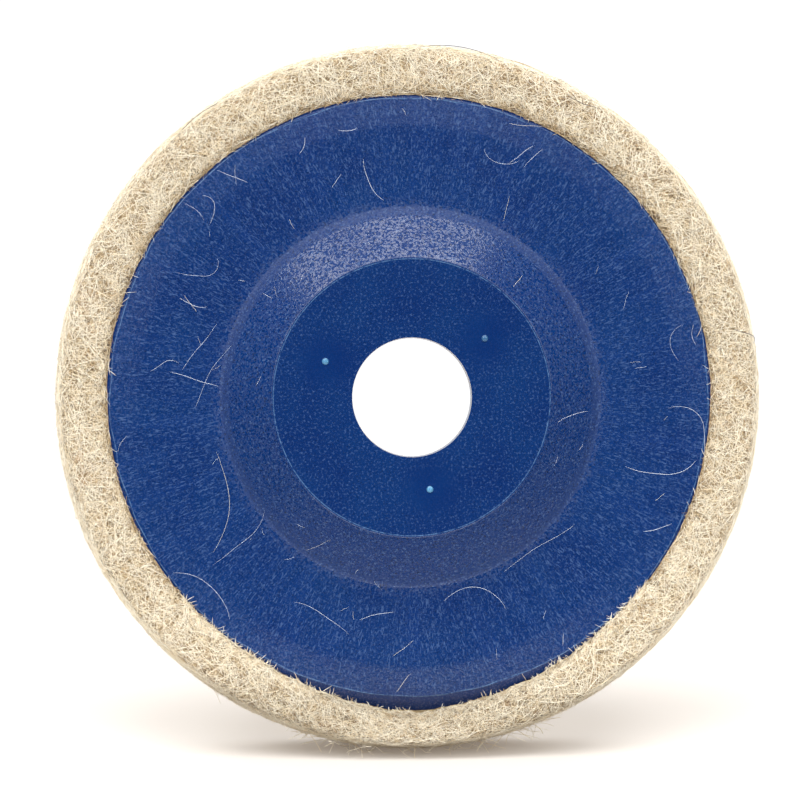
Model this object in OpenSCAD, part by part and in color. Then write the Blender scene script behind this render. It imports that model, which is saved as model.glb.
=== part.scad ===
// Felt polishing disc for an angle grinder.
// The disc stands on its rim with its axis along Y. The machine side, with the raised hub, faces -Y,
// and the felt work face faces +Y. The origin is the bore's centre on the hub's clamp face.

/* [Felt ring] */
// Outer radius of the felt, which is the radius of the whole disc
disc_r = 50; // [50:0.5:56]
// Radius of the hole in the felt that clears the clamp nut
felt_hole_r = 26.2; // [26:0.1:32]
// Thickness of the felt in front of the flange
felt_t = 9.6; // [8:0.1:16]
// How much smaller the felt's radius is at its machine side, where its wall leans in
felt_lean = 2.6; // [0.5:0.1:3]
// Thickness of the felt over which its wall leans
felt_lean_t = 7.5; // [5:0.1:7.5]
// Rounding of the felt's outer edge on the machine side
felt_back_round = 2; // [0.5:0.1:2.5]
// Rounding of the felt's outer edge on the work side
felt_face_round = 1.2; // [0.3:0.1:2]

/* [Backing plate] */
// Radius of the spindle bore
bore_r = 8; // [5:0.1:11.1]
// Outer radius of the flat hub, which the machine's flange clamps
hub_r = 18.7; // [17:0.1:20]
// Thickness of the hub
hub_t = 3; // [2:0.1:4]
// Height of the hub's clamp face above the back of the flange
hub_rise = 4.8; // [3.5:0.1:6]
// Outer radius of the conical slope between the hub and the flange
slope_r = 25.9; // [25:0.1:26]
// Radius of the flange's edge on the machine side
plate_r = 41.1; // [38:0.1:42]
// Thickness of the flange and of the slope
wall_t = 2.6; // [2.4:0.1:3.5]

/* [Rim and gate marks] */
// Width of the chamfer around the rim, measured along the radius
chamfer_w = 2.4; // [1:0.1:3]
// Depth of the chamfer, measured along the axis
chamfer_d = 1.7; // [1:0.1:1.7]
// Width of the flange's outer margin, which leans away from the machine side
margin_w = 4; // [2:0.5:8]
// How far the margin falls over its width
margin_fall = 0.3; // [0.2:0.05:0.4]
// Radius of the circle that the gate marks lie on
gate_circle_r = 12.5; // [12:0.1:16]
// Radius of the ball whose cap is a gate mark
gate_ball_r = 0.6; // [0.4:0.05:0.8]

/* [Adhesive] */
// Thickness of the adhesive between the flange and the felt
glue_t = 0.4; // [0.2:0.1:1]

/* [Hidden] */
$fn = 96;
ROUND_STEPS = 6;

// Angles of the gate marks around the axis, from +X towards +Z
GATE_ANGLES = [39, 157.5, 281];
// How far a gate mark's ball is sunk below the clamp face, as a share of its radius
GATE_SUNK = 0.6;

// Small roundings of the moulding's edges and corners
hub_edge_round = 0.4;
slope_foot_round = 1.5;
margin_round = 12;
rim_round = 0.25;
recess_round = 0.8;

// Clearance between the plate's rim and the felt around it
felt_gap = 0.15;
// The felt stands this far behind the flange's back
felt_proud = 0.1;
// Rounding of the felt's lip over the chamfer, and of its hole
felt_lip_round = 0.3;
felt_hole_round = 0.8;
// Rounding where the felt's leaning wall turns straight
felt_shoulder_round = 5;
// The adhesive stops this far inside the rim, and shows this far inside the felt's hole
glue_inset = 0.5;
glue_show = 0.4;

slope_angle = atan(hub_rise / (slope_r - hub_r));
rim_r = plate_r + chamfer_w;
flange_front = hub_rise + wall_t;
edge_back = hub_rise + margin_fall;
chamfer_foot = edge_back + chamfer_d;
felt_back = hub_rise - felt_proud;
felt_seat = flange_front + glue_t;
work_face = felt_seat + felt_t;
chamfer_len = norm([chamfer_w, chamfer_d]);
lip_shift = felt_gap * [chamfer_d, -chamfer_w] / chamfer_len;

function unit(v) = v / norm(v);

// The corner c between its neighbours a and b, as an arc of radius r
function rounded(a, c, b, r) =
    let (
        u = unit(a - c),
        v = unit(b - c),
        half = acos(u * v) / 2,
        centre = c + unit(u + v) * r / sin(half),
        from = c + u * r / tan(half) - centre,
        to = c + v * r / tan(half) - centre,
        sweep = 180 - 2 * half
    )
    [
        for (i = [0 : ROUND_STEPS])
            let (t = i / ROUND_STEPS)
            centre + (from * sin((1 - t) * sweep) + to * sin(t * sweep)) / sin(sweep)
    ];

// An outline of corners, each [radius from the axis, distance along it, rounding]
function outline(corners) =
    let (n = len(corners), xy = [for (c = corners) [c[0], c[1]]])
    [
        for (i = [0 : n - 1])
            each corners[i][2] == 0
                ? [xy[i]]
                : rounded(xy[(i + n - 1) % n], xy[i], xy[(i + 1) % n], corners[i][2])
    ];

// Radius of the slope's work side at a distance y along the axis
function recess_r(y) = hub_r + y / tan(slope_angle) - wall_t / sin(slope_angle);

// A ring turned about the Y axis from an outline
module turned(corners) {
    rotate([-90, 0, 0])
        rotate_extrude()
            polygon(outline(corners));
}

module gate_marks() {
    for (angle = GATE_ANGLES)
        translate([gate_circle_r * cos(angle), GATE_SUNK * gate_ball_r, gate_circle_r * sin(angle)])
            sphere(r = gate_ball_r);
}

module backing_plate() {
    color("#173c82")
        union() {
            turned([
                [bore_r, 0, 0],
                [hub_r, 0, hub_edge_round],
                [slope_r, hub_rise, slope_foot_round],
                [plate_r - margin_w, hub_rise, margin_round],
                [plate_r, edge_back, rim_round],
                [rim_r, chamfer_foot, rim_round],
                [rim_r, flange_front, rim_round / 2],
                [recess_r(flange_front), flange_front, recess_round],
                [recess_r(hub_t), hub_t, recess_round],
                [bore_r, hub_t, 0]
            ]);
            gate_marks();
        }
}

module adhesive_layer() {
    color("#c9a566")
        turned([
            [felt_hole_r - glue_show, flange_front, 0],
            [rim_r - glue_inset, flange_front, 0],
            [rim_r - glue_inset, felt_seat, 0],
            [felt_hole_r - glue_show, felt_seat, 0]
        ]);
}

module felt_ring() {
    color("#dccbab")
        turned([
            [felt_hole_r, felt_seat, 0],
            [rim_r + felt_gap, felt_seat, 0],
            [rim_r + felt_gap, chamfer_foot, 0],
            [plate_r + lip_shift[0], edge_back + lip_shift[1], felt_lip_round / 2],
            [plate_r + lip_shift[0] + felt_lip_round, felt_back, felt_lip_round / 2],
            [disc_r - felt_lean, felt_back, felt_back_round],
            [disc_r, felt_back + felt_lean_t, felt_shoulder_round],
            [disc_r, work_face, felt_face_round],
            [felt_hole_r, work_face, felt_hole_round]
        ]);
}

backing_plate();
adhesive_layer();
felt_ring();
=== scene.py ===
import math

import bpy
import numpy as np
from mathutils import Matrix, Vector, noise


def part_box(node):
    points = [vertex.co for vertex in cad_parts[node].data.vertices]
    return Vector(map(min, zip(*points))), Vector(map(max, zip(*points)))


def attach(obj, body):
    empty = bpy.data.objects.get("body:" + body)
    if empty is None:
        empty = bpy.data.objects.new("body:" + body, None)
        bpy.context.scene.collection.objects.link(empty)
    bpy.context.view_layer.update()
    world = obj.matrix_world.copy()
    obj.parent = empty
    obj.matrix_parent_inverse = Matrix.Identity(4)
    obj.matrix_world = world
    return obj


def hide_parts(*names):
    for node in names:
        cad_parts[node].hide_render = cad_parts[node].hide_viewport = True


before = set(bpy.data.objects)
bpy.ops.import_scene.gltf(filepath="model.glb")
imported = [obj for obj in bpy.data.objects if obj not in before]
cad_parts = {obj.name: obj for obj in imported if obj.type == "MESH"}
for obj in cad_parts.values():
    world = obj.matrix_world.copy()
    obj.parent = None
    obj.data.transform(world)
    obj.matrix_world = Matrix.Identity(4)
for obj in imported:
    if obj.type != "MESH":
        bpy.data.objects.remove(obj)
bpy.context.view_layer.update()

MM = 0.001
BODY = "root"


# ---------------------------------------------------------------- sizes from the frame, in mm

def node_box(node):
    """The lowest and the highest corner of a node's box, in mm."""
    low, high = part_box(node)
    return np.array(low) / MM, np.array(high) / MM


def inner_radius(node):
    """The smallest distance of a node's surface from the disc's axis, in mm."""
    points = np.array([v.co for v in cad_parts[node].data.vertices])
    return float(np.hypot(points[:, 0], points[:, 2]).min() / MM)


plate_high = node_box("backing_plate")[1]
felt_low, felt_high = node_box("felt_ring")
glue_high = node_box("adhesive_layer")[1]

DISC_R = felt_high[0]
FELT_BACK = felt_low[1]
WORK_FACE = felt_high[1]
HOLE_R = inner_radius("felt_ring")
RIM_R = plate_high[0]
FLANGE_FRONT = plate_high[1]
FELT_SEAT = glue_high[1]
FLOOR_Z = felt_low[2]

# The rim's chamfer, along the radius and along the axis
CHAMFER_W = 2.4
CHAMFER_D = 1.7
# The flange's edge on the machine side: its radius, and its distance along the axis
EDGE_R = RIM_R - CHAMFER_W
EDGE_Y = FLANGE_FRONT - 2.3
SLOPE_R = 25.9
HUB_R = 18.7
# Where stray strands lie on the flange's margin, along the axis
MARGIN_Y = EDGE_Y - 0.12
# How far the felt's wall leans in, and over what thickness
LEAN = 2.6
LEAN_T = 7.5
# Clearance between the felt and the plate's rim
FELT_GAP = 0.15
GATE_CIRCLE_R = 12.5
GATE_ANGLES = (39.0, 157.5, 281.0)


# ---------------------------------------------------------------- camera

# The camera's turn about the disc and its rise in degrees, and its distance from the origin in mm
CAMERA_TURN = -1.4
CAMERA_RISE = 0.46
CAMERA_DISTANCE = 176.0
# How far left of the origin and below it the camera aims, in mm
FRAMED_LEFT = 1.61
FRAMED_BELOW = 0.35
# Sensor width and focal length in mm
SENSOR = 36.0
LENS = 59.4


def make_camera():
    """The camera almost on the disc's axis, a little above it, with the whole disc in sharp focus."""
    data = bpy.data.cameras.new("camera")
    data.sensor_width = SENSOR
    data.lens = LENS
    data.clip_start = 0.01
    data.clip_end = 20.0
    camera = bpy.data.objects.new("camera", data)
    bpy.context.scene.collection.objects.link(camera)
    turn, rise = math.radians(CAMERA_TURN), math.radians(CAMERA_RISE)
    back = Vector((
        math.sin(turn) * math.cos(rise),
        -math.cos(turn) * math.cos(rise),
        math.sin(rise),
    ))
    right = Vector((0, 0, 1)).cross(back).normalized()
    up = back.cross(right)
    aim = (right * -FRAMED_LEFT + up * -FRAMED_BELOW) * MM
    camera.location = aim + back * CAMERA_DISTANCE * MM
    camera.rotation_mode = "QUATERNION"
    camera.rotation_quaternion = (-back).to_track_quat("-Z", "Y")
    bpy.context.scene.camera = camera


# ---------------------------------------------------------------- node helpers

class Nodes:
    """A short way to write a node tree: each call makes a node and returns its output."""

    def __init__(self, material):
        material.use_nodes = True
        self.tree = material.node_tree
        self.tree.nodes.clear()

    def node(self, kind, settings=None, **inputs):
        """A node with its settings, and its inputs by name with _ for a space."""
        made = self.tree.nodes.new(kind)
        for name, value in (settings or {}).items():
            setattr(made, name, value)
        for name, value in inputs.items():
            self.plug(made, name.replace("_", " "), value)
        return made

    def plug(self, made, name, value):
        """Links an output to an input, given by name or number, or sets the input's value."""
        socket = made.inputs[int(name)] if name.isdigit() else made.inputs[name]
        if isinstance(value, bpy.types.NodeSocket):
            self.tree.links.new(value, socket)
        else:
            socket.default_value = value

    def math(self, operation, a, b=0.0):
        made = self.node("ShaderNodeMath", {"operation": operation})
        self.plug(made, "0", a)
        self.plug(made, "1", b)
        return made.outputs[0]

    def distance(self, a, b):
        """The length of the line whose two legs are a and b."""
        return self.math("SQRT", self.math("ADD", self.math("MULTIPLY", a, a), self.math("MULTIPLY", b, b)))

    def ramp(self, value, low, high, start=0.0, end=1.0, smooth=True):
        """Runs from start to end while the value runs from low to high."""
        kind = "SMOOTHSTEP" if smooth else "LINEAR"
        made = self.node("ShaderNodeMapRange", {"interpolation_type": kind, "clamp": True})
        for name, got in zip(("Value", "From Min", "From Max", "To Min", "To Max"),
                             (value, low, high, start, end)):
            self.plug(made, name, got)
        return made.outputs["Result"]

    def noise(self, vector, scale, detail=2.0, roughness=0.5, distortion=0.0):
        made = self.node("ShaderNodeTexNoise", {"noise_dimensions": "3D"}, Vector=vector, Scale=scale,
                         Detail=detail, Roughness=roughness, Distortion=distortion)
        return made.outputs["Fac"]

    def mix(self, factor, a, b):
        made = self.node("ShaderNodeMix", {"data_type": "RGBA", "clamp_factor": True})
        self.plug(made, "0", factor)
        self.plug_colour(made, 6, a)
        self.plug_colour(made, 7, b)
        return made.outputs[2]

    def plug_colour(self, made, index, value):
        socket = made.inputs[index]
        if isinstance(value, bpy.types.NodeSocket):
            self.tree.links.new(value, socket)
        else:
            socket.default_value = (*value, 1.0)

    def vector(self, x, y, z):
        made = self.node("ShaderNodeCombineXYZ")
        for i, value in enumerate((x, y, z)):
            self.plug(made, str(i), value)
        return made.outputs[0]

    def place(self):
        """The surface point in mm: its vector and its x, y and z."""
        where = self.node("ShaderNodeTexCoord").outputs["Object"]
        scaled = self.node("ShaderNodeVectorMath", {"operation": "SCALE"}, Vector=where, Scale=1 / MM)
        parts = self.node("ShaderNodeSeparateXYZ", Vector=scaled.outputs[0])
        return scaled.outputs[0], parts.outputs[0], parts.outputs[1], parts.outputs[2]

    def stretched(self, vector, turn, scale):
        """The vector turned about Y and scaled along each axis, for grain that runs one way."""
        made = self.node("ShaderNodeMapping", {"vector_type": "POINT"}, Vector=vector)
        made.inputs["Rotation"].default_value = (0.0, math.radians(turn), 0.0)
        made.inputs["Scale"].default_value = scale
        return made.outputs[0]

    def bump(self, height, distance):
        """A bumped normal; distance is the height in mm that a full step of height stands for."""
        made = self.node("ShaderNodeBump", Height=height, Distance=distance * MM, Strength=1.0)
        return made.outputs[0]

    def finish(self, shader):
        out = self.node("ShaderNodeOutputMaterial")
        self.tree.links.new(shader.outputs[0], out.inputs["Surface"])


def colour(hex_code):
    """A hex colour as linear red, green and blue."""
    parts = [int(hex_code[i:i + 2], 16) / 255 for i in (1, 3, 5)]
    return tuple(p / 12.92 if p <= 0.04045 else ((p + 0.055) / 1.055) ** 2.4 for p in parts)


# ---------------------------------------------------------------- materials

PLASTIC_DEEP = "#032051"
PLASTIC_MID = "#052656"
PLASTIC_FLECK = "#364c74"
PLASTIC_PIT = "#031638"
# Paler colour for the painted light on the slope
PLASTIC_SLOPE_LIT = "#062b62"
# Colour for the painted shade on the rim's chamfer
PLASTIC_CHAMFER_SHADE = "#01255c"
# Paler colour for the painted sheen on the flange's margin
PLASTIC_MARGIN_SHEEN = "#1f3f70"
PLASTIC_FAN = "#0d2c62"
# Colour of the painted highlight on the gate nubs' caps
GATE_HIGHLIGHT = "#4f86a8"
# Colour of the painted highlight lines along the hub's and the flange's edges
EDGE_HIGHLIGHT = "#6e92b4"
# How strong each gate mark's painted highlight is, the radii in mm over which that highlight ends, and
# those of its smooth patch
GATE_HIGHLIGHT_SHOWS = (0.35, 0.8, 1.0)
GATE_CAP = (0.36, 0.50)
GATE_PATCH = (1.6, 5.0)
# Width in mm of the painted highlight lines along the hub's and the flange's edges
HIGHLIGHT_WIDTH = 0.09
# Roughness of the flats, of the slope's dull and shiny facets, and of the fillet at the slope's foot
FLAT_ROUGH = (0.17, 0.28)
SLOPE_ROUGH = (0.90, 0.115)
FOOT_ROUGH = 0.6


class PlatePlaces:
    """The plate's places as node outputs: the point and radius in mm, and its zones from 0 to 1."""

    def __init__(self, n):
        self.point, self.x, self.y, self.z = n.place()
        self.radius = n.distance(self.x, self.z)
        self.on_flange = n.ramp(self.radius, SLOPE_R - 2.0, SLOPE_R + 3.0)
        self.on_slope = n.math("SUBTRACT", n.ramp(self.radius, HUB_R - 0.3, HUB_R + 0.5), self.on_flange)
        self.speck = n.noise(self.point, 3.3, 1.5, 0.6, 0.4)
        self.find_gates(n)

    def find_gates(self, n):
        """grown is 0 on the smooth patches round the gate marks, and the nub mask is the painted highlight
        on their raised caps.
        """
        nearest, caps = None, None
        for angle, shows in zip(GATE_ANGLES, GATE_HIGHLIGHT_SHOWS):
            gate_x = GATE_CIRCLE_R * math.cos(math.radians(angle))
            gate_z = GATE_CIRCLE_R * math.sin(math.radians(angle))
            away = n.distance(n.math("SUBTRACT", self.x, gate_x), n.math("SUBTRACT", self.z, gate_z))
            cap = n.ramp(away, *GATE_CAP, shows, 0.0)
            nearest = away if nearest is None else n.math("MINIMUM", nearest, away)
            caps = cap if caps is None else n.math("MAXIMUM", caps, cap)
        self.grown = n.ramp(nearest, *GATE_PATCH)
        self.nub = n.math("MULTIPLY", caps, n.ramp(self.y, -0.05, 0.02, 1.0, 0.0))


def radial_noise(n, at, per_turn, per_mm, detail, roughness, distortion):
    """Noise drawn out along the radius, as finely round the disc as per_turn says."""
    safe = n.math("MAXIMUM", at.radius, 0.001)
    across, along = n.math("DIVIDE", at.x, safe), n.math("DIVIDE", at.z, safe)
    place = n.vector(
        n.math("MULTIPLY", across, per_turn),
        n.math("MULTIPLY", along, per_turn),
        n.math("MULTIPLY", at.radius, per_mm),
    )
    return n.noise(place, 1.0, detail, roughness, distortion)


def plastic_flecks(n, at):
    """How much fleck there is: radial dashes on the flange, specks on the slope and hub."""
    dash = radial_noise(n, at, 165.0, 1.3, 1.0, 0.5, 0.2)
    dashes = n.math("MULTIPLY", n.ramp(dash, 0.56, 0.71), at.on_flange)
    specks = n.math("MULTIPLY", n.ramp(at.speck, 0.52, 0.72), n.ramp(at.on_slope, 0.0, 1.0, 0.7, 1.0))
    flecks = n.math("MULTIPLY", n.math("MAXIMUM", dashes, specks), at.grown)
    return n.math("MULTIPLY", flecks, n.ramp(at.on_flange, 0.0, 1.0, 0.95, 0.84))


def plastic_ground(n, at):
    """The plastic's colour: clouds, broad flow fans, a paler slope as painted light, pits, flow lines and
    flecks.
    """
    cloud = n.noise(at.point, 0.12, 3.0, 0.5)
    broad = radial_noise(n, at, 26.0, 0.05, 2.0, 0.5, 0.6)
    streak = radial_noise(n, at, 95.0, 0.22, 3.0, 0.6, 0.3)
    pit = n.noise(at.point, 3.9, 1.5, 0.6, 0.4)
    fans = n.math("MULTIPLY", n.ramp(broad, 0.40, 0.70), at.on_flange)
    pits = n.math("MULTIPLY", n.ramp(pit, 0.46, 0.30), n.ramp(at.on_slope, 0.0, 1.0, 0.6, 1.0))
    lines = n.math("MULTIPLY", n.ramp(streak, 0.45, 0.72), n.math("MULTIPLY", at.on_flange, at.grown))
    base = n.mix(n.ramp(cloud, 0.3, 0.7), colour(PLASTIC_DEEP), colour(PLASTIC_MID))
    base = n.mix(n.math("MULTIPLY", fans, 0.35), base, colour(PLASTIC_FAN))
    # Painted light: the slope is paler than the flats
    base = n.mix(n.math("MULTIPLY", at.on_slope, 0.5), base, colour(PLASTIC_SLOPE_LIT))
    base = n.mix(n.math("MULTIPLY", pits, at.grown), base, colour(PLASTIC_PIT))
    base = n.mix(n.math("MULTIPLY", lines, 0.09), base, colour(PLASTIC_FLECK))
    return n.mix(plastic_flecks(n, at), base, colour(PLASTIC_FLECK))


def plastic_edges(n, at, base):
    """The colour with a painted sheen on the margin, painted shade on the chamfer, painted highlights on
    the gate caps and painted highlight lines on the edges.
    """
    # Painted sheen: the margin is paler towards the rim, for the light the rim catches
    margin = n.ramp(at.radius, EDGE_R - 5.5, EDGE_R - 0.3)
    base = n.mix(n.math("MULTIPLY", margin, 0.06), base, colour(PLASTIC_MARGIN_SHEEN))
    # Painted shade: the rim's chamfer takes its shade colour
    base = n.mix(n.ramp(at.radius, EDGE_R, EDGE_R + 0.25, 0.0, 0.8), base, colour(PLASTIC_CHAMFER_SHADE))
    # Painted highlight: the gate nubs' caps are pale
    base = n.mix(n.math("MULTIPLY", at.nub, 0.9), base, colour(GATE_HIGHLIGHT))
    # Painted highlights: thin pale lines along the hub's and the flange's edges, broken up by noise
    highlight_break = n.noise(at.point, 1.3, 3.0, 0.7)
    wobble = n.ramp(n.noise(at.point, 0.11, 1.0, 0.5), 0.40, 0.60, -0.22, 0.10, smooth=False)
    for ring, wander in ((HUB_R - 0.22, 0.0), (EDGE_R - 0.02, 1.0)):
        there = n.math("ADD", n.math("MULTIPLY", wobble, wander), ring)
        off = n.math("ABSOLUTE", n.math("SUBTRACT", at.radius, there))
        on_line = n.ramp(off, HIGHLIGHT_WIDTH * 0.4, HIGHLIGHT_WIDTH, 1.0, 0.0)
        edge_highlight = n.math("MULTIPLY", on_line, n.ramp(highlight_break, 0.36, 0.58, 0.15, 1.0))
        base = n.mix(n.math("MULTIPLY", edge_highlight, 0.34), base, colour(EDGE_HIGHLIGHT))
    return base


def plastic_roughness(n, at, grain):
    """A satin sheen on the flats, facets that are either dull or shiny on the slope, a dull foot."""
    glint = n.noise(at.point, 3.0, 1.0, 0.5, 0.5)
    flat_rough = n.ramp(grain, 0.40, 0.60, *FLAT_ROUGH)
    slope_rough = n.ramp(glint, 0.445, 0.535, *SLOPE_ROUGH)
    rough = n.ramp(at.on_slope, 0.0, 1.0, flat_rough, slope_rough)
    off_foot = n.math("ABSOLUTE", n.math("SUBTRACT", at.radius, SLOPE_R - 0.5))
    foot = n.ramp(off_foot, 0.4, 1.0, 1.0, 0.0)
    return n.math("MAXIMUM", rough, n.math("MULTIPLY", foot, FOOT_ROUGH))


def moulded_plastic():
    """Deep blue filled plastic: flow streaks on the flange, flecks all over and smooth gate patches."""
    material = bpy.data.materials.new("moulded_plastic_detail")
    n = Nodes(material)
    at = PlatePlaces(n)
    grain = n.noise(at.point, 2.9, 2.0, 0.7)
    height = n.math("MULTIPLY", grain, n.ramp(at.on_slope, 0.0, 1.0, 0.42, 0.30))
    height = n.math("ADD", height, n.math("MULTIPLY", n.math("MULTIPLY", at.speck, at.on_slope), 0.5))
    height = n.math("MULTIPLY", height, n.ramp(at.grown, 0.0, 1.0, 0.3, 1.0))
    base = plastic_edges(n, at, plastic_ground(n, at))
    shader = n.node("ShaderNodeBsdfPrincipled", Base_Color=base,
                    Roughness=plastic_roughness(n, at, grain), Normal=n.bump(height, 0.08))
    shader.inputs["IOR"].default_value = 1.52
    shader.inputs["Specular IOR Level"].default_value = 0.32
    n.finish(shader)
    return material


# The body's colours are darker than the strands' as painted shade for the gaps between them
FELT_CREAM = "#cdb892"
FELT_TAN = "#94805f"
FELT_PIT_SHADE = "#52422f"
FELT_BLOTCH = "#c4a57e"
FELT_PINK = "#d8b096"
ADHESIVE_DARK = "#8f6a34"
ADHESIVE_LIGHT = "#c59b57"


def felt_body_material():
    """The dense body of the felt: matted fibre grain in several directions over soft blotches, painted
    darker than its strands as shade in the gaps between them.
    """
    material = bpy.data.materials.new("wool_felt_body")
    n = Nodes(material)
    point = n.place()[0]
    wavy = n.node("ShaderNodeTexNoise", {"noise_dimensions": "3D"}, Vector=point, Scale=0.8, Detail=2.0)
    warped = n.node("ShaderNodeVectorMath", {"operation": "MULTIPLY_ADD"})
    n.plug(warped, "0", wavy.outputs["Color"])
    n.plug(warped, "1", (0.9, 0.9, 0.9))
    n.plug(warped, "2", point)
    mat = None
    for turn in (8, 52, 97, 141):
        grain = n.noise(n.stretched(warped.outputs[0], turn, (0.55, 2.2, 5.2)), 1.0, 2.0, 0.6)
        mat = grain if mat is None else n.math("MAXIMUM", mat, grain)
    fine = n.noise(point, 3.2, 2.0, 0.6)
    blotch = n.noise(point, 0.22, 3.0, 0.55)
    pink = n.noise(point, 0.31, 2.0, 0.5, 0.8)
    # Painted shade: tan and dark brown pits where the body shows between the strands; the blotches and the
    # pink are the felt's own tone
    base = n.mix(n.ramp(mat, 0.52, 0.74), colour(FELT_TAN), colour(FELT_CREAM))
    base = n.mix(n.ramp(blotch, 0.42, 0.66, 0.0, 0.42), base, colour(FELT_BLOTCH))
    base = n.mix(n.ramp(pink, 0.55, 0.72, 0.0, 0.25), base, colour(FELT_PINK))
    base = n.mix(n.ramp(fine, 0.36, 0.50, 0.55, 0.0), base, colour(FELT_PIT_SHADE))
    height = n.math("ADD", n.math("MULTIPLY", mat, 0.8), n.math("MULTIPLY", fine, 0.5))
    shader = n.node("ShaderNodeBsdfPrincipled", Base_Color=base, Normal=n.bump(height, 0.18))
    shader.inputs["Roughness"].default_value = 0.92
    shader.inputs["Specular IOR Level"].default_value = 0.12
    shader.inputs["Sheen Weight"].default_value = 0.25
    shader.inputs["Sheen Roughness"].default_value = 0.5
    n.finish(shader)
    return material


def fibre_material(name, hex_code, rough=0.5):
    """One shade of wool. A strand is thinner than any pattern, so its colour is even along it."""
    material = bpy.data.materials.new(name)
    n = Nodes(material)
    shader = n.node("ShaderNodeBsdfPrincipled")
    shader.inputs["Base Color"].default_value = (*colour(hex_code), 1.0)
    shader.inputs["Roughness"].default_value = rough
    shader.inputs["Specular IOR Level"].default_value = 0.3
    shader.inputs["Sheen Weight"].default_value = 0.2
    n.finish(shader)
    return material


def adhesive_material():
    """Amber contact adhesive, glossy with bubbles and streaks."""
    material = bpy.data.materials.new("adhesive_amber")
    n = Nodes(material)
    point = n.place()[0]
    bubble = n.noise(point, 1.9, 3.0, 0.6, 0.6)
    base = n.mix(n.ramp(bubble, 0.35, 0.7), colour(ADHESIVE_DARK), colour(ADHESIVE_LIGHT))
    shader = n.node("ShaderNodeBsdfPrincipled", Base_Color=base,
                    Roughness=n.ramp(bubble, 0.3, 0.7, 0.22, 0.42), Normal=n.bump(bubble, 0.08))
    n.finish(shader)
    return material


# ---------------------------------------------------------------- outlines turned about the axis

def rounded(a, corner, b, radius, steps=8):
    """The points of an arc that rounds a corner between its neighbours a and b."""
    a, corner, b = np.array(a), np.array(corner), np.array(b)
    u = (a - corner) / np.linalg.norm(a - corner)
    v = (b - corner) / np.linalg.norm(b - corner)
    half = math.acos(float(np.clip(u @ v, -1, 1))) / 2
    centre = corner + (u + v) / np.linalg.norm(u + v) * radius / math.sin(half)
    start = corner + u * radius / math.tan(half) - centre
    end = corner + v * radius / math.tan(half) - centre
    sweep = math.pi - 2 * half
    turns = np.linspace(0, 1, steps + 1)
    return [centre + (start * math.sin((1 - t) * sweep) + end * math.sin(t * sweep)) / math.sin(sweep)
            for t in turns]


def outline(corners):
    """A closed outline from corners, each (radius, y, rounding)."""
    points = []
    count = len(corners)
    for i, (r, y, radius) in enumerate(corners):
        if radius == 0:
            points.append(np.array((r, y)))
        else:
            points += rounded(corners[i - 1][:2], (r, y), corners[(i + 1) % count][:2], radius)
    return np.array(points)


def evenly(points, spacing):
    """The same polyline with points about spacing apart."""
    steps = np.linalg.norm(np.diff(points, axis=0), axis=1)
    along = np.concatenate([[0], np.cumsum(steps)])
    count = max(2, int(round(along[-1] / spacing)) + 1)
    wanted = np.linspace(0, along[-1], count)
    return np.stack([np.interp(wanted, along, points[:, k]) for k in range(2)], axis=1)


def felt_shape():
    """The felt's section: the visible stretch from its lip round to the hole, and the hidden rest."""
    corners = [
        (EDGE_R + FELT_GAP, EDGE_Y + 0.05, 0.0),
        (EDGE_R + 1.7, FELT_BACK + 0.05, 1.4),
        (DISC_R - LEAN, FELT_BACK, 2.0),
        (DISC_R, FELT_BACK + LEAN_T, 5.0),
        (DISC_R, WORK_FACE, 1.2),
        (HOLE_R, WORK_FACE, 0.8),
        (HOLE_R, FELT_SEAT, 0.0),
        (RIM_R + FELT_GAP, FELT_SEAT, 0.0),
        (RIM_R + FELT_GAP, EDGE_Y + CHAMFER_D, 0.0),
    ]
    points = outline(corners)
    seat = int(np.argmin(np.abs(points - (HOLE_R, FELT_SEAT)).sum(axis=1)))
    return points[:seat + 1], points[seat:]


SEEN, HIDDEN = felt_shape()
SEEN_ALONG = np.concatenate([[0], np.cumsum(np.linalg.norm(np.diff(SEEN, axis=0), axis=1))])
SEEN_LENGTH = SEEN_ALONG[-1]

# Where the felt's lip has drawn back furthest, how far that spreads to each side, both in degrees,
# how deep it is, and how far into the felt the lip gives way, both in mm
GAP_ANGLE = 271.0
GAP_SPREADS = (34.0, 40.0)
GAP_DEPTH = 2.25
LIP_REACH = 6.5


def gap(angle):
    """How far the felt has drawn back from the rim at an angle, in mm."""
    off = (np.degrees(angle) - GAP_ANGLE + 180) % 360 - 180
    spread = np.where(off < 0, GAP_SPREADS[0], GAP_SPREADS[1])
    near = np.clip(1 - np.abs(off) / spread, 0, 1)
    ragged = 0.10 * np.sin(off * 0.9) + 0.06 * np.sin(off * 2.3 + 1.0)
    seam = 0.17 - 0.07 * np.cos(angle) + 0.05 * np.sin(angle * 11 + 0.6) + 0.04 * np.sin(angle * 37)
    return (GAP_DEPTH * near ** 1.15 + ragged * np.minimum(near * 4, 1)) * (near > 0) + seam


def draw_back(radius, y, angle):
    """Moves the felt's lip outward and down where it has drawn back from the rim."""
    lip = np.clip(1 - (radius - EDGE_R - 0.1) / LIP_REACH, 0, 1) * (y < FELT_BACK + 2.6)
    moved = gap(angle) * lip ** 0.8
    return radius + moved, y + moved * 0.62 * lip


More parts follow.
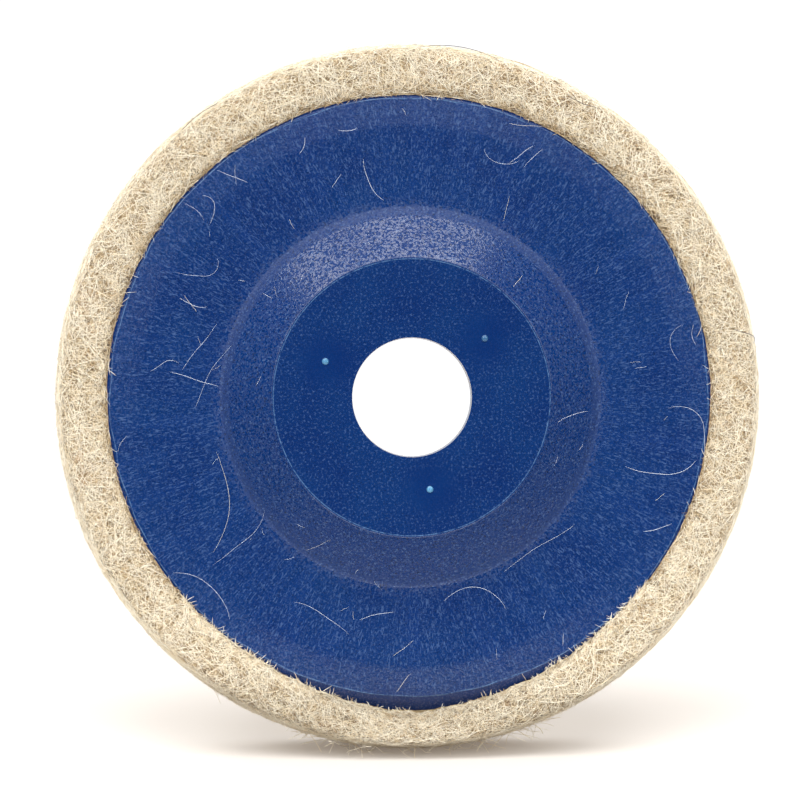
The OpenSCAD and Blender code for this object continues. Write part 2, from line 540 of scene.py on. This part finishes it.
def on_felt(along, angle, height):
    """Points on the felt in mm, from the distance along its section, the angle and the height above it.

    A distance below 0 carries on over the plate's margin, where stray strands lie."""
    on = np.clip(along, 0, SEEN_LENGTH)
    over = np.maximum(-along, 0)
    r = np.interp(on, SEEN_ALONG, SEEN[:, 0])
    y = np.interp(on, SEEN_ALONG, SEEN[:, 1])
    step = 0.25
    ahead, behind = np.clip(on + step, 0, SEEN_LENGTH), np.clip(on - step, 0, SEEN_LENGTH)
    dr = np.interp(ahead, SEEN_ALONG, SEEN[:, 0]) - np.interp(behind, SEEN_ALONG, SEEN[:, 0])
    dy = np.interp(ahead, SEEN_ALONG, SEEN[:, 1]) - np.interp(behind, SEEN_ALONG, SEEN[:, 1])
    size = np.maximum(np.hypot(dr, dy), 1e-9)
    r, y = draw_back(r, y, angle)
    shift = np.maximum(height, 0.02)
    r_over, y_over = r - over, np.minimum(y, MARGIN_Y + over * 0.02) - shift
    r, y = r + height * dy / size, y - height * dr / size
    r, y = np.where(over > 0, r_over, r), np.where(over > 0, y_over, y)
    return np.stack([r * np.cos(angle), y, r * np.sin(angle)], axis=-1)


# ---------------------------------------------------------------- meshes

def new_mesh(name, vertices, faces, materials, indices=None):
    """A smooth object from arrays: vertices in mm, faces as an array of equal rows or a list of such."""
    groups = faces if isinstance(faces, list) else [faces]
    mesh = bpy.data.meshes.new(name)
    mesh.vertices.add(len(vertices))
    mesh.vertices.foreach_set("co", (np.asarray(vertices) * MM).astype(np.float32).ravel())
    sizes = np.concatenate([np.full(len(g), g.shape[1]) for g in groups])
    loops = np.concatenate([g.ravel() for g in groups])
    mesh.loops.add(len(loops))
    mesh.loops.foreach_set("vertex_index", loops.astype(np.int32))
    mesh.polygons.add(len(sizes))
    starts = np.concatenate([[0], np.cumsum(sizes)[:-1]])
    mesh.polygons.foreach_set("loop_start", starts.astype(np.int32))
    mesh.polygons.foreach_set("use_smooth", np.full(len(sizes), True))
    for material in materials:
        mesh.materials.append(material)
    if indices is not None:
        mesh.polygons.foreach_set("material_index", np.asarray(indices, np.int32))
    mesh.update(calc_edges=True)
    mesh.validate()
    made = bpy.data.objects.new(name, mesh)
    bpy.context.scene.collection.objects.link(made)
    return made


# Distances in mm between the skin's points where it shows and where it doesn't, and its steps round
SEEN_STEP = 0.52
HIDDEN_STEP = 2.4
SKIN_TURNS = 600


def felt_body(material):
    """The felt ring as one closed skin, softly uneven where it shows."""
    seen = evenly(SEEN, SEEN_STEP)
    hidden = evenly(HIDDEN, HIDDEN_STEP)[1:-1]
    section = np.concatenate([seen, hidden])
    turns = SKIN_TURNS
    angle = np.linspace(0, 2 * math.pi, turns, endpoint=False)
    along = np.linspace(0, SEEN_LENGTH, len(seen))
    grid_angle, grid_along = np.meshgrid(angle, along, indexing="ij")
    flat = on_felt(grid_along, grid_angle, np.zeros_like(grid_along))
    bumps = np.array([
        0.11 * noise.noise(Vector(p) * 0.33) + 0.07 * noise.noise(Vector(p) * 1.1)
        for p in flat.reshape(-1, 3)
    ]).reshape(grid_along.shape)
    calm = np.clip(np.minimum(grid_along - 0.4, SEEN_LENGTH - grid_along) / 1.5, 0, 1)
    sunk = np.clip((SEEN_LENGTH - grid_along) / 1.5, 0, 1)
    seen_points = on_felt(grid_along, grid_angle, bumps * calm - 0.13 * sunk)
    hidden_angle, r = np.meshgrid(angle, hidden[:, 0], indexing="ij")
    y = np.broadcast_to(hidden[:, 1], r.shape)
    hidden_points = np.stack([r * np.cos(hidden_angle), y, r * np.sin(hidden_angle)], axis=-1)
    points = np.concatenate([seen_points, hidden_points], axis=1)
    rows = len(section)
    i, j = np.meshgrid(np.arange(turns), np.arange(rows), indexing="ij")
    next_i, next_j = (i + 1) % turns, (j + 1) % rows
    quads = np.stack([i * rows + j, i * rows + next_j, next_i * rows + next_j, next_i * rows + j], -1)
    return new_mesh("felt_ring_body", points.reshape(-1, 3), quads.reshape(-1, 4)[:, ::-1], [material])


# Sides of a strand's tube, and the most triangles one piece may have
SIDES = 3
MOST_TRIANGLES = 190000


def bundles(name, lines, radii, materials, shades):
    """The lines as tubes, in as many pieces as keep each one light."""
    per_line = (lines.shape[1] - 1) * SIDES * 2 + 2
    share = MOST_TRIANGLES // per_line
    starts = range(0, len(lines), share)
    made = []
    for i, at in enumerate(starts):
        these = slice(at, at + share)
        made.append(tubes(f"{name}_{i + 1}", lines[these], radii[these], materials, shades[these]))
    return made


def tubes(name, lines, radii, materials, shades):
    """Fine closed tubes along lines, an array (strands, points, 3) in mm, each tapering to its ends."""
    count, points = lines.shape[:2]
    run = np.gradient(lines, axis=1)
    run /= np.maximum(np.linalg.norm(run, axis=2, keepdims=True), 1e-9)
    whole = lines[:, -1] - lines[:, 0]
    side = np.eye(3)[np.argmin(np.abs(whole), axis=1)][:, None, :]
    first = np.cross(run, side)
    first /= np.maximum(np.linalg.norm(first, axis=2, keepdims=True), 1e-9)
    second = np.cross(run, first)
    t = np.linspace(0, 1, points)
    taper = 0.35 + 0.65 * np.sin(np.pi * t) ** 0.5
    size = radii[:, None] * taper[None, :]
    rings = []
    for k in range(SIDES):
        a = 2 * math.pi * k / SIDES
        rings.append(lines + size[..., None] * (first * math.cos(a) + second * math.sin(a)))
    vertices = np.stack(rings, axis=2).reshape(-1, 3)
    s, p, k = np.meshgrid(np.arange(count), np.arange(points - 1), np.arange(SIDES), indexing="ij")
    here = (s * points + p) * SIDES
    next_k = (k + 1) % SIDES
    quads = np.stack([here + k, here + next_k, here + SIDES + next_k, here + SIDES + k], -1).reshape(-1, 4)
    base = np.arange(count) * points * SIDES
    start_caps = np.stack([base + 2, base + 1, base], -1)
    last = base + (points - 1) * SIDES
    end_caps = np.stack([last, last + 1, last + 2], -1)
    indices = np.concatenate([np.repeat(shades, (points - 1) * SIDES), shades, shades])
    return new_mesh(name, vertices, [quads, np.concatenate([start_caps, end_caps])], materials, indices)


# ---------------------------------------------------------------- wool strands on the felt

def felt_strands(rng, count, first, last, lengths, lift, stand=0.0, curl=0.5, steps=9, arc=(0.0, 360.0),
                 over=0.15):
    """Lines that wander over the felt between two distances along its section.

    lift is the range of heights above the felt, stand is how far their far ends rise, and over is how
    far they reach past the felt's lip on average."""
    along = rng.uniform(first, last, count)
    angle = np.radians(rng.uniform(*arc, count))
    heading = rng.uniform(0, 2 * math.pi, count)
    length = rng.uniform(*lengths, count)
    bend = rng.normal(0, curl, count)
    base = rng.uniform(*lift, count)
    rise = rng.uniform(0.2, 1.0, count) * stand
    wave = rng.uniform(0, 2 * math.pi, count)
    overshoot = rng.exponential(over, count)
    heading = np.where(along + np.cos(heading) * length < -overshoot, math.pi - heading, heading)
    step = length / (steps - 1)
    lines = np.empty((count, steps, 3))
    for k in range(steps):
        t = k / (steps - 1)
        height = base + rise * t ** 1.4 + 0.04 * np.sin(wave + 4.5 * t)
        lines[:, k] = on_felt(np.minimum(along, SEEN_LENGTH), angle, height)
        radius = np.interp(along, SEEN_ALONG, SEEN[:, 0])
        along = along + np.cos(heading) * step
        angle = angle + np.sin(heading) * step / radius
        heading = heading + bend * step + rng.normal(0, 0.07, count)
        along = np.maximum(along, -overshoot)
    return above_floor(lines, rng)


def above_floor(lines, rng):
    """Lays whatever would pass the floor on it."""
    lowest = FLOOR_Z + rng.uniform(0.03, 0.12, lines.shape[0])[:, None]
    lines[..., 2] = np.maximum(lines[..., 2], lowest)
    return lines


def shade_mix(rng, count, weights):
    """A shade for each strand, drawn at random with these weights."""
    return rng.choice(len(weights), count, p=np.array(weights) / sum(weights))


def surface_stretches():
    """Distances along the felt's section where its back, rim, work face and hole begin and end."""
    back_end = SEEN_ALONG[np.argmax(SEEN[:, 0] > DISC_R - 1.2)]
    rim_end = SEEN_ALONG[np.argmax(SEEN[:, 1] > WORK_FACE - 0.5)]
    face_end = SEEN_LENGTH - (WORK_FACE - FELT_SEAT) + 0.5
    return back_end, rim_end, face_end


# The smallest and largest strand radius of each kind, in mm
FINE = (0.018, 0.036)
MIDDLE = (0.022, 0.042)
COARSE = (0.024, 0.038)
BRIGHT = (0.019, 0.034)
DARK_THIN = (0.022, 0.042)
# The darkest shade's number, and the shares of white, cream, tan, brown and umber strands
UMBER = 4
# DEEP is darker, for the strands low in the felt and at its lip: painted shade under the top layer and
# beside the plate
DEEP = (0.12, 0.34, 0.30, 0.22, 0.02)
PALE = (0.46, 0.32, 0.13, 0.08, 0.01)
DARK = (0.0, 0.0, 0.10, 0.45, 0.45)
WHITE = (0.80, 0.20, 0.0, 0.0, 0.0)


def near_plate_darker(rng, lines, shades):
    """Most strands near the plate are a shade darker, painted shade where the felt dips beside it; strands
    in random patches are a shade darker too, as stains.
    """
    middle = lines[:, lines.shape[1] // 2]
    radius = np.hypot(middle[:, 0], middle[:, 2])
    # Painted shade: strands beside the plate take a darker shade
    plate_shade = (radius < EDGE_R + 0.5 + rng.exponential(0.7, len(lines))) & (middle[:, 1] < EDGE_Y + 1)
    shades = np.where(plate_shade, np.minimum(shades + 1, UMBER), shades)
    x, y, z = middle.T
    patch = np.sin(1.3 * x + 1.5 * np.sin(0.9 * z + y)) + np.sin(1.5 * z + 1.8 * np.sin(0.8 * x))
    stained = (patch > 0.9) & (rng.uniform(0, 1, len(lines)) < 0.45)
    return np.where(stained, np.minimum(shades + 1, UMBER), shades)


def wool_strands(materials):
    """The matted surface fibres, in beds that lie over one another, each as a few large pieces."""
    rng = np.random.default_rng(41)
    back_end, rim_end, face_end = surface_stretches()
    less = 1.0
    beds = [
        # name, count, from, to, lengths, heights, stand, curl, steps, radii, shades
        ("wool_back_deep", 20000, 0.0, back_end, (0.6, 1.7), (-0.16, 0.02), 0.05, 0.35, 4, MIDDLE, DEEP),
        ("wool_back_top", 28000, 0.0, back_end, (0.9, 2.4), (-0.02, 0.12), 0.10, 0.25, 4, FINE, PALE),
        ("wool_back_dark", 19000, 0.0, back_end, (0.2, 0.7), (0.02, 0.14), 0.04, 0.1, 3, DARK_THIN, DARK),
        ("wool_back_glint", 19000, 0.2, back_end, (0.8, 2.4), (0.07, 0.18), 0.08, 0.1, 4, BRIGHT, WHITE),
        ("wool_back_long", 3200, 0.4, back_end, (1.8, 5.0), (0.14, 0.26), 0.12, 0.04, 7, COARSE, WHITE),
        ("wool_lip", 4200, -0.05, 0.9, (0.5, 1.5), (-0.04, 0.10), 0.05, 0.3, 4, MIDDLE, DEEP),
        ("wool_rim", 20000, back_end - 1.0, rim_end, (0.7, 2.2), (-0.14, 0.08), 0.22, 0.4, 5, FINE, PALE),
        ("wool_face", 26000, rim_end - 1.0, face_end, (1.2, 3.6), (-0.14, 0.10), 0.14, 0.35, 5, FINE, PALE),
        ("wool_hole", 4500, face_end - 0.8, SEEN_LENGTH - 0.4, (1.0, 2.6), (-0.1, 0.08), 0.2, 0.4, 5,
         FINE, PALE),
    ]
    made = []
    for name, count, first, last, lengths, lift, stand, curl, steps, widths, mix in beds:
        count = int(count * less)
        lines = felt_strands(rng, count, first, last, lengths, lift, stand, curl, steps)
        radii = rng.uniform(*widths, count)
        shades = near_plate_darker(rng, lines, shade_mix(rng, count, mix))
        made += bundles(name, lines, radii, materials, shades)
    return made


def lip_tips(materials):
    """Pale tips that reach past the felt's lip, most of them over the gap under the plate."""
    rng = np.random.default_rng(29)
    all_round = felt_strands(rng, 700, 0.0, 0.8, (0.8, 2.4), (0.02, 0.16), 0.1, 0.1, 5, over=0.7)
    low = felt_strands(rng, 2200, 0.0, 0.6, (0.5, 1.6), (0.02, 0.20), 0.1, 0.1, 5, (222.0, 322.0), 0.7)
    lines = np.concatenate([all_round, low])
    radii = rng.uniform(*FINE, len(lines))
    return tubes("wool_tips", lines, radii, materials, shade_mix(rng, len(lines), (0.6, 0.3, 0.1, 0.0)))


def fuzz(materials):
    """Short hairs that stand off the felt's edges, seen against the light."""
    rng = np.random.default_rng(57)
    back_end, rim_end, face_end = surface_stretches()
    stretches = [
        # count, from, to, lengths, stand
        (4200, back_end - 2.5, rim_end, (0.6, 1.8), 0.6),
        (700, 0.0, 1.2, (0.8, 2.2), 0.35),
        (500, rim_end - 1.0, face_end, (0.8, 2.2), 0.8),
        (160, face_end - 0.5, SEEN_LENGTH - 1.0, (0.8, 1.8), 0.7),
    ]
    lines, radii = [], []
    less = 1.0
    for count, first, last, lengths, stand in stretches:
        count = int(count * less)
        lines.append(felt_strands(rng, count, first, last, lengths, (-0.15, 0.0), stand, 0.9, 7))
        radii.append(rng.uniform(0.014, 0.026, count))
    lines = np.concatenate(lines)
    shades = shade_mix(rng, len(lines), (0.55, 0.35, 0.08, 0.02))
    return bundles("wool_fuzz", lines, np.concatenate(radii), materials, shades)


def long_whiskers(materials):
    """The few long strands that have pulled out of the rim, most of them low down."""
    rng = np.random.default_rng(73)
    back_end, rim_end, face_end = surface_stretches()
    low = felt_strands(rng, 90, back_end - 3.5, back_end + 0.5, (2.0, 6.0), (-0.1, 0.0), 2.6, 0.3, 12,
                       (248.0, 292.0))
    round_about = felt_strands(rng, 26, back_end - 3.0, rim_end, (2.0, 5.0), (-0.1, 0.0), 1.5, 0.35, 12)
    right = felt_strands(rng, 34, 1.0, 7.0, (3.0, 7.0), (0.05, 0.30), 0.9, 0.25, 12, (292.0, 306.0))
    lines = np.concatenate([low, round_about, right])
    radii = rng.uniform(0.030, 0.052, len(lines))
    return tubes("wool_whiskers", lines, radii, materials, shade_mix(rng, len(lines), (0.8, 0.2, 0, 0)))


# ---------------------------------------------------------------- loose fibres on the plate

# Each fibre: x and z of its start, heading, length, and how far each half turns, in mm and degrees
LOOSE = (
    (-26.5, 31, -20, 4.6, 0, 0), (-24, 31.7, -88, 3, 5, 0), (-31, 26.5, -28, 4, -10, -40),
    (-27.5, 23.5, 50, 5.2, 40, 90), (-32, 17, -18, 7.5, 10, 115), (-31, 14, -50, 3, 0, 0),
    (-31.5, 13.5, -40, 4, 15, 30), (-26.5, 10, -125, 7.8, -5, 5), (-24.5, 7, -135, 10, 20, 8),
    (-33, 3.5, -17, 7, 0, 0), (-35.5, 3.5, 32, 4.4, 0, -70), (-14.5, 35.5, -80, 2.5, -30, -20),
    (-9.5, 30.5, -125, 2.3, 0, 0), (-6.5, 32.5, -92, 6.5, 20, 35), (-10, 36.5, -25, 2.8, 25, 30),
    (10, 34, -82, 6, 60, 50), (13.5, 32, 42, 4.2, 0, -10), (15.5, 31.5, 55, 3.6, -8, -8),
    (13.5, 27.5, -103, 3.6, 3, -6), (13.5, 37.5, -8, 4.8, 6, 6), (30, 14.5, -115, 2.6, 10, 10),
    (37.5, 10, -165, 6.2, 70, 55), (39, 10, -115, 3, 30, 40), (15, 16.5, -128, 2.2, -6, 0),
    (-26.5, -7.5, -68, 14.5, -22, -40), (-20, -15.5, -98, 10.5, -40, 0), (-32.5, -24, 5, 11, -40, -45),
    (-16, -28, -8, 8.8, -22, -8), (-14.5, -21, 25, 4, 5, 3), (-40, -7.5, 80, 2.6, -20, -20),
    (-7, -30.5, 22, 4.8, -12, -10), (-2.5, -35.5, 32, 3.6, 6, 4), (-2, -40.5, 52, 3, 0, 0),
    (19.5, -3.5, 45, 5, -25, -10), (35.5, -1.5, 25, 12.5, -100, -20), (29.5, -9.5, -28, 10.5, 20, 50),
    (22.5, -17.5, -140, 11.7, -8, 15), (4.5, -28, 50, 10.5, -55, -65), (32, -18.5, 8, 4.1, 8, 6),
    (21, -32.5, -90, 1.7, 0, 0),
)

# How many short bits lie between them
TICKS = 30


def plate_height(x, z):
    """The y of the backing plate's machine side at a point, in mm, read off the CAD node."""
    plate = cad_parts["backing_plate"]
    hit, where, _, _ = plate.ray_cast(Vector((x * MM, -0.05, z * MM)), Vector((0, 1, 0)))
    return where.y / MM if hit else EDGE_Y


def lying(x, z, heading, length, turns, lift, rng, steps=16):
    """A line that lies on the plate from (x, z), bending evenly over each half."""
    points = []
    heading = math.radians(heading)
    step = length / (steps - 1)
    drift = rng.uniform(0, 2 * math.pi)
    for k in range(steps):
        t = k / (steps - 1)
        off = lift * (0.35 + 0.65 * math.sin(math.pi * t)) + 0.02
        points.append((x, plate_height(x, z) - off, z))
        turn = turns[0] if t < 0.5 else turns[1]
        heading += math.radians(turn) * 2 / (steps - 1) + 0.035 * math.sin(drift + 9 * t)
        x, z = x + math.cos(heading) * step, z + math.sin(heading) * step
    return points


def loose_fibres(materials):
    """Curly strands shed by the felt that lie on the backing plate."""
    rng = np.random.default_rng(88)
    lines = [lying(x, z, heading, length, (a, b), rng.uniform(0.08, 0.35), rng)
             for x, z, heading, length, a, b in LOOSE]
    for _ in range(TICKS):
        radius, angle = rng.uniform(20, EDGE_R - 1), rng.uniform(0, 2 * math.pi)
        lines.append(lying(radius * math.cos(angle), radius * math.sin(angle), rng.uniform(0, 360),
                           rng.uniform(0.5, 1.8), rng.uniform(-30, 30, 2), 0.05, rng))
    lines = np.array(lines)
    radii = np.concatenate([rng.uniform(0.012, 0.022, len(LOOSE)), rng.uniform(0.010, 0.016, TICKS)])
    return tubes("loose_fibres", lines, radii, materials, shade_mix(rng, len(lines), (0.8, 0.2, 0, 0)))


# Each hair: start and end angle in degrees, then in mm the start and end distance along the felt's
# section and how far it stands off
GUARD_HAIRS = (
    (131.5, 122.5, 8.3, 8.8, 0.25), (89.0, 75.0, 8.6, 7.8, 0.6), (12.4, 8.6, 3.6, 8.6, 0.5),
    (62.0, 57.0, 5.0, 6.0, 0.2), (318.0, 315.0, 5.5, 5.0, 0.2),
)


def guard_hairs(material):
    """The few dark, coarser hairs caught in the wool."""
    rng = np.random.default_rng(17)
    lines = []
    steps = 14
    t = np.linspace(0, 1, steps)
    for first, last, start, end, stand in GUARD_HAIRS:
        angle = np.radians(first + (last - first) * t)
        place = start + (end - start) * t + 0.25 * np.sin(4.5 * t + rng.uniform(0, 6))
        lines.append(on_felt(place, angle, stand * np.sin(math.pi * t) + 0.16))
    return tubes("guard_hairs", np.array(lines), np.full(len(lines), 0.052), [material],
                 np.zeros(len(lines), int))


# ---------------------------------------------------------------- adhesive bead

def adhesive_bead(material):
    """The uneven bead squeezed out round the felt's hole, on the flange's work side."""
    rng = np.random.default_rng(5)
    turns, sides = 360, 10
    angle = np.linspace(0, 2 * math.pi, turns, endpoint=False)
    phase = rng.uniform(0, 2 * math.pi, 4)
    swell = np.ones(turns)
    for much, waves, start in zip((0.22, 0.16, 0.12, 0.08), (5, 11, 23, 41), phase):
        swell = swell + much * np.sin(waves * angle + start)
    width, height = 0.34 * swell, 0.26 * swell
    points = []
    for k in range(sides):
        a = 2 * math.pi * k / sides
        r = HOLE_R - 0.45 + width * math.cos(a)
        y = FELT_SEAT - 0.12 + height * math.sin(a)
        points.append(np.stack([r * np.cos(angle), y, r * np.sin(angle)], axis=-1))
    vertices = np.stack(points, axis=1).reshape(-1, 3)
    i, k = np.meshgrid(np.arange(turns), np.arange(sides), indexing="ij")
    ni, nk = (i + 1) % turns, (k + 1) % sides
    quads = np.stack([i * sides + k, i * sides + nk, ni * sides + nk, ni * sides + k], -1).reshape(-1, 4)
    return new_mesh("adhesive_bead", vertices, quads, [material])


# ---------------------------------------------------------------- stage and light

FLOOR_PALE = (0.52, 0.50, 0.478)
FLOOR_GLOW = 0.17
GLOW_WARM = (1.0, 0.83, 0.67)


def plain_material(name, tint, glow):
    """A matt surface that glows a little, warmly, so that the shadow on it stays soft."""
    material = bpy.data.materials.new(name)
    n = Nodes(material)
    shader = n.node("ShaderNodeBsdfPrincipled")
    shader.inputs["Base Color"].default_value = (*tint, 1.0)
    shader.inputs["Roughness"].default_value = 0.9
    shader.inputs["Specular IOR Level"].default_value = 0.1
    shader.inputs["Emission Color"].default_value = (*GLOW_WARM, 1.0)
    shader.inputs["Emission Strength"].default_value = glow
    n.finish(shader)
    return material


def floor():
    """A pale floor that starts a little in front of the disc, so that its face doesn't mirror it."""
    wide, near, far = 1500.0, -9.0, 1800.0
    corners = np.array([(-wide, near, FLOOR_Z), (wide, near, FLOOR_Z), (wide, far, FLOOR_Z),
                        (-wide, far, FLOOR_Z)])
    pale = plain_material("floor_pale", FLOOR_PALE, FLOOR_GLOW)
    made = new_mesh("floor", corners, np.array([[0, 1, 2, 3]]), [pale])


def add_light(name, kind, settings, place, target=(0.0, 6.0, 0.0)):
    """A light at a place in mm that shines towards the target."""
    data = bpy.data.lights.new(name, kind)
    for key, value in settings.items():
        setattr(data, key, value)
    light = bpy.data.objects.new(name, data)
    bpy.context.scene.collection.objects.link(light)
    light.location = Vector(place) * MM
    light.rotation_mode = "QUATERNION"
    light.rotation_quaternion = (Vector(target) - Vector(place)).to_track_quat("-Z", "Y")


def softbox(name, place, size, power):
    """A soft rectangle of light at a place in mm, with its width and height in mm."""
    shape = {"shape": "RECTANGLE", "size": size[0] * MM, "size_y": size[1] * MM, "energy": power}
    add_light(name, "AREA", shape, place)


def sky(seen, front, behind):
    """A white surround. seen is its brightness in the picture, front and behind are how it lights."""
    world = bpy.data.worlds.new("studio")
    bpy.context.scene.world = world
    n = Nodes(world)
    way = n.node("ShaderNodeSeparateXYZ", Vector=n.node("ShaderNodeTexCoord").outputs["Generated"])
    lit = n.node("ShaderNodeBackground", Strength=n.ramp(way.outputs[1], -0.1, 0.5, front, behind))
    shown = n.node("ShaderNodeBackground", Strength=seen)
    for glow in (lit, shown):
        glow.inputs["Color"].default_value = (1.0, 1.0, 1.0, 1.0)
    both = n.node("ShaderNodeMixShader")
    n.plug(both, "0", n.node("ShaderNodeLightPath").outputs["Is Camera Ray"])
    n.plug(both, "1", lit.outputs[0])
    n.plug(both, "2", shown.outputs[0])
    out = n.node("ShaderNodeOutputWorld")
    n.plug(out, "Surface", both.outputs[0])


# The key lights' turns about the disc's axis and their rise above its front, in degrees, and how far
# off they stand in mm
KEY_TURNS = (-31.0, -6.0, 16.0)
KEY_RISE = 67.0
KEY_FAR = 300


def studio():
    """Soft keys high in front, whose sheen lies on the slope's top, and soft light all round."""
    floor()
    sky(1.1, 0.08, 1.15)
    for i, turn in enumerate(KEY_TURNS):
        rise, turn = math.radians(KEY_RISE), math.radians(turn)
        side, up = KEY_FAR * math.sin(turn), KEY_FAR * math.sin(rise) * math.cos(turn)
        place = (side, -KEY_FAR * math.cos(rise), up)
        add_light(f"key_light_{i + 1}", "SUN", {"energy": 1.2, "angle": math.radians(24)}, place)
    add_light("back_light", "SUN", {"energy": 1.6, "angle": math.radians(80)}, (0, 120, 400))
    softbox("face_light", (0, -300, 270), (500, 200), 0.8)
    softbox("left_fill", (-290, -330, 150), (160, 260), 0.9)
    softbox("right_fill", (310, -310, 150), (160, 260), 0.85)
    softbox("low_fill", (0, -250, -235), (500, 120), 1.35)
    bpy.context.scene.view_settings.view_transform = "Standard"


# ---------------------------------------------------------------- the object

def main():
    """Builds the scene on the frame's nodes."""
    make_camera()
    plastic = moulded_plastic()
    amber = adhesive_material()
    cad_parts["backing_plate"].material_slots[0].material = plastic
    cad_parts["adhesive_layer"].material_slots[0].material = amber
    wool = [
        fibre_material("wool_white", "#f8efda"),
        fibre_material("wool_cream", "#ead9b8"),
        fibre_material("wool_tan", "#c6ab80"),
        fibre_material("wool_brown", "#8d7048"),
        fibre_material("wool_umber", "#4f3a24"),
    ]
    dark = fibre_material("guard_hair_dark", "#3a2f2c", 0.4)
    shed = fibre_material("wool_shed", "#eff3fa")

    body = felt_body(felt_body_material())
    strands = wool_strands(wool) + fuzz(wool)
    strands += [lip_tips(wool), long_whiskers(wool), guard_hairs(dark)]
    on_plate = loose_fibres([shed, wool[0]])
    bead = adhesive_bead(amber)

    for piece in [body, *strands, on_plate, bead]:
        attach(piece, BODY)
    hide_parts("felt_ring")
    studio()


main()
